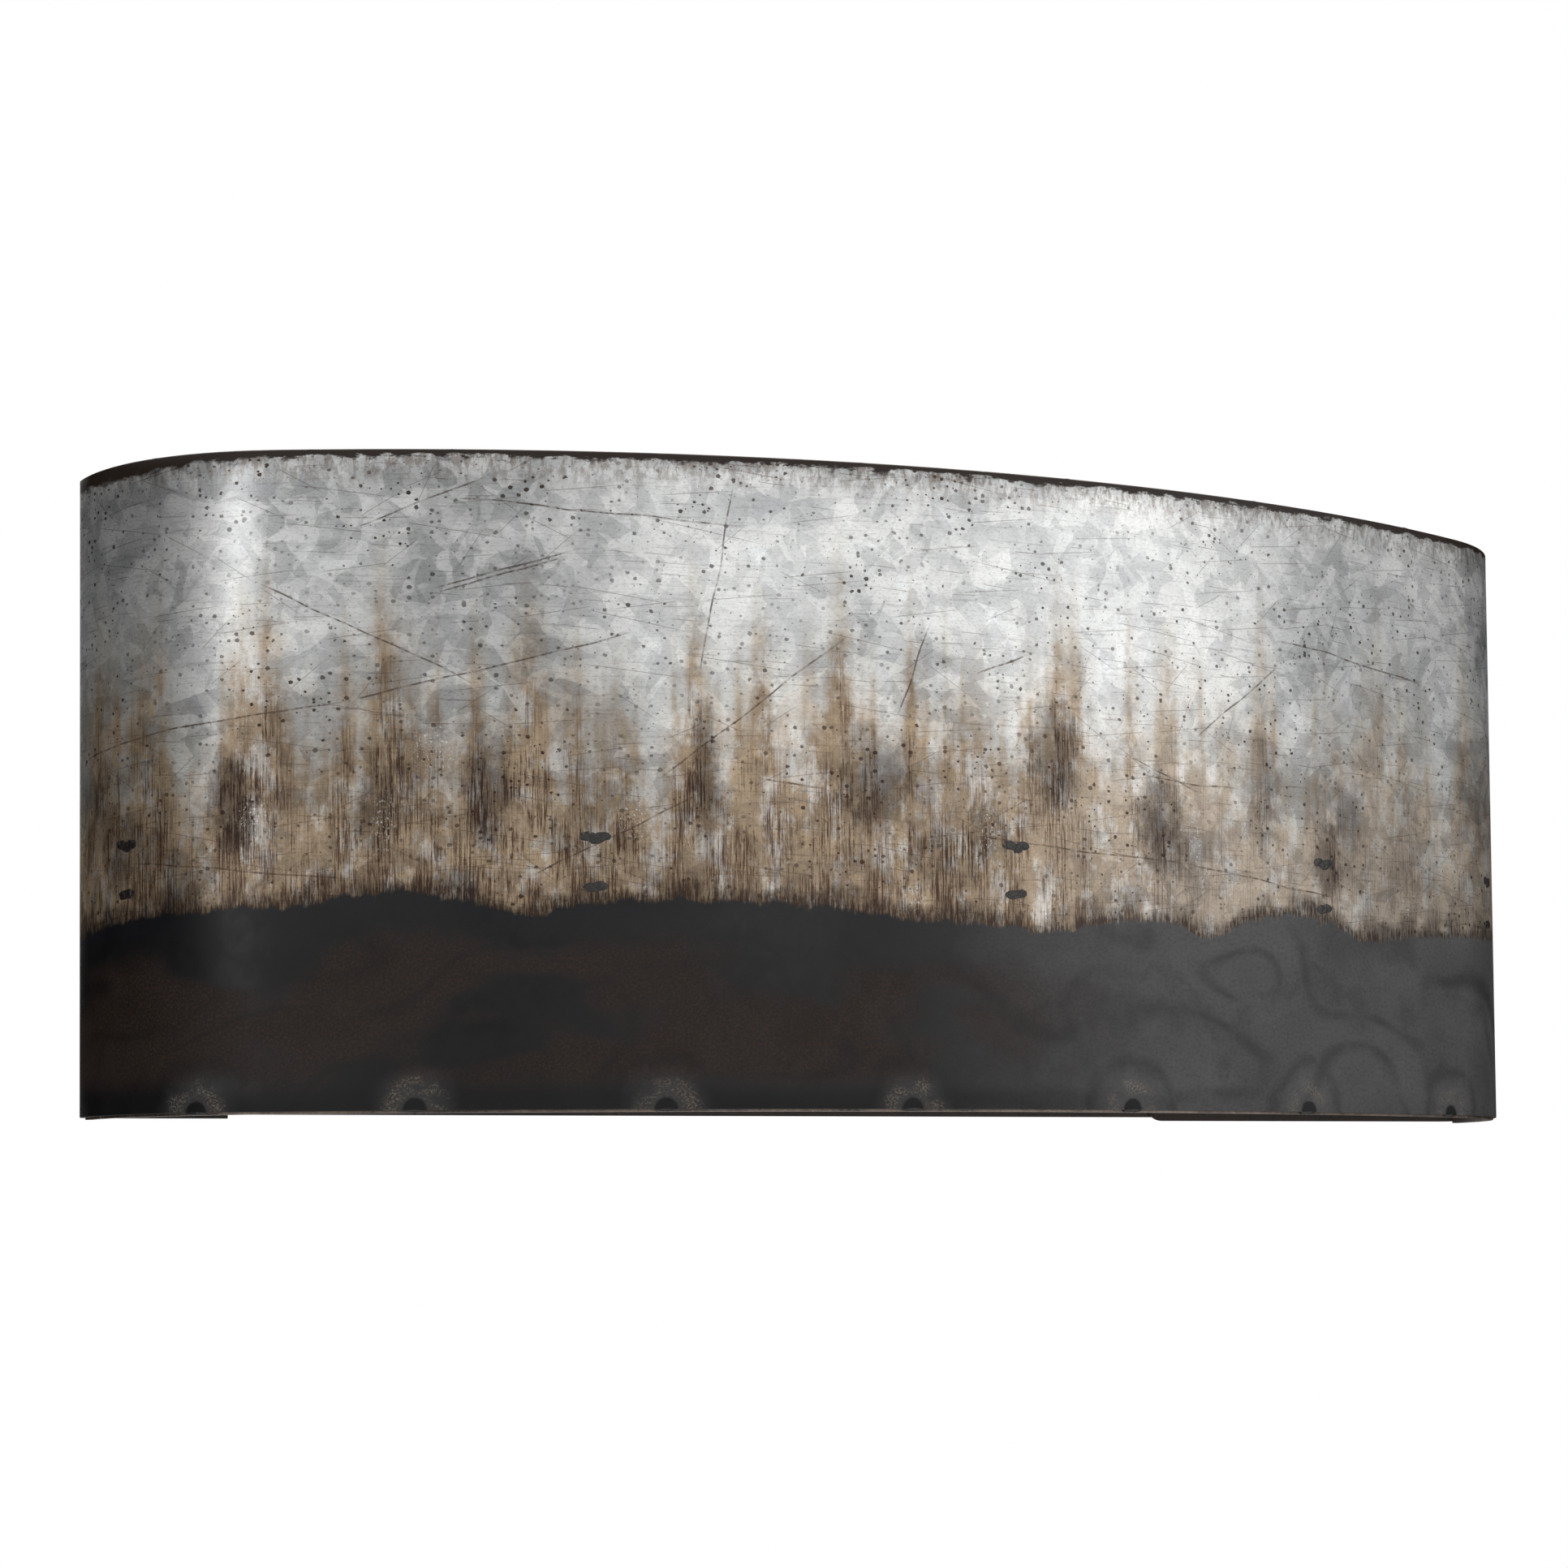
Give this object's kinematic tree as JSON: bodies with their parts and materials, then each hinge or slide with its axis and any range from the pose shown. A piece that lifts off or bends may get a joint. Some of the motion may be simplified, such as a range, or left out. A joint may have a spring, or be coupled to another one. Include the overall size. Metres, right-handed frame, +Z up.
{
  "type": "half-oval wall light",
  "caption": "Wall light with a half-oval galvanised sheet shade, open above and below, a frosted lower panel and screw-in lamps on a wiring pan and crossbar.",
  "frame": {"origin": "middle of the crossbar's back face, in the wall plane, at the middle of the shade's height and width", "axes": "+X to the right along the wall, +Y into the wall, +Z up; the shade bulges towards -Y"},
  "size_m": [0.388, 0.0952, 0.1528],
  "materials": {
    "galvanised_sheet": "galvanised, heat-browned towards the lower third and oxide-black below",
    "rim_steel": "burnished black",
    "weld_metal": "oxidised weld metal",
    "clip_steel": "burnished dark steel",
    "frosted_panel": "frosted white",
    "plate_steel": "brown-black lacquered steel",
    "zinc_hardware": "zinc plated",
    "dark_nut": "knurled, bronze black",
    "green_screw": "green dyed",
    "porcelain": "glazed white",
    "brass": "plain rolled",
    "solder": "tinned",
    "black_glass": "black insulator",
    "lamp_cap_metal": "rolled thread",
    "frosted_glass": "inside frosted",
    "lead_sleeve": "heat-proof sleeve",
    "black_plastic": "moulded",
    "connector_plastic": "moulded orange"
  },
  "bodies": {
    "fixture": {"shade_band": "galvanised_sheet", "top_rim_strap": "rim_steel", "bottom_rim_strap": "rim_steel", "top_tack_welds": "weld_metal", "bottom_tack_welds": "weld_metal", "clip_spot_welds": "weld_metal", "ledge_clip_1": "clip_steel", "ledge_clip_2": "clip_steel", "ledge_clip_3": "clip_steel", "ledge_clip_4": "clip_steel", "ledge_clip_5": "clip_steel", "back_plate": "plate_steel", "wiring_pan": "plate_steel", "pan_rivets": "zinc_hardware", "crossbar": "zinc_hardware", "mounting_studs": "zinc_hardware", "stud_lock_nuts": "zinc_hardware", "ground_screw": "green_screw", "lampholder_bracket": "zinc_hardware", "bracket_screws": "zinc_hardware", "lampholder_screws": "zinc_hardware", "wire_bushing": "black_plastic", "wire_connectors": "connector_plastic", "lampholder_left": "porcelain", "screw_shell_left": "brass", "centre_contact_left": "brass", "lamp_lead_left": "lead_sleeve", "lampholder_right": "porcelain", "screw_shell_right": "brass", "centre_contact_right": "brass", "lamp_lead_right": "lead_sleeve"},
    "lamp_left": {"lamp_contact_left": "solder", "lamp_insulator_left": "black_glass", "lamp_cap_left": "lamp_cap_metal", "lamp_glass_left": "frosted_glass"},
    "cap_nut_left": {"cap_nut_left": "dark_nut"},
    "lamp_right": {"lamp_contact_right": "solder", "lamp_insulator_right": "black_glass", "lamp_cap_right": "lamp_cap_metal", "lamp_glass_right": "frosted_glass"},
    "cap_nut_right": {"cap_nut_right": "dark_nut"},
    "diffuser": {"diffuser_panel": "frosted_panel"}
  },
  "joints": [
    {"name": "lamp_left_out", "type": "slide", "parent": "fixture", "child": "lamp_left", "axis": [-1, 0, 0], "range_m": [0, 0.027]},
    {"name": "lamp_right_out", "type": "slide", "parent": "fixture", "child": "lamp_right", "axis": [1, 0, 0], "range_m": [0, 0.027]},
    {"name": "diffuser_lift", "type": "slide", "parent": "fixture", "child": "diffuser", "axis": [0, 0, 1], "range_m": [0, 0.015]},
    {"name": "cap_nut_left_turn", "type": "hinge", "parent": "fixture", "child": "cap_nut_left", "pos_m": [-0.035, -0.022, 0], "axis": [0, -1, 0], "continuous": true},
    {"name": "cap_nut_right_turn", "type": "hinge", "parent": "fixture", "child": "cap_nut_right", "pos_m": [0.035, -0.022, 0], "axis": [0, -1, 0], "continuous": true}
  ]
}
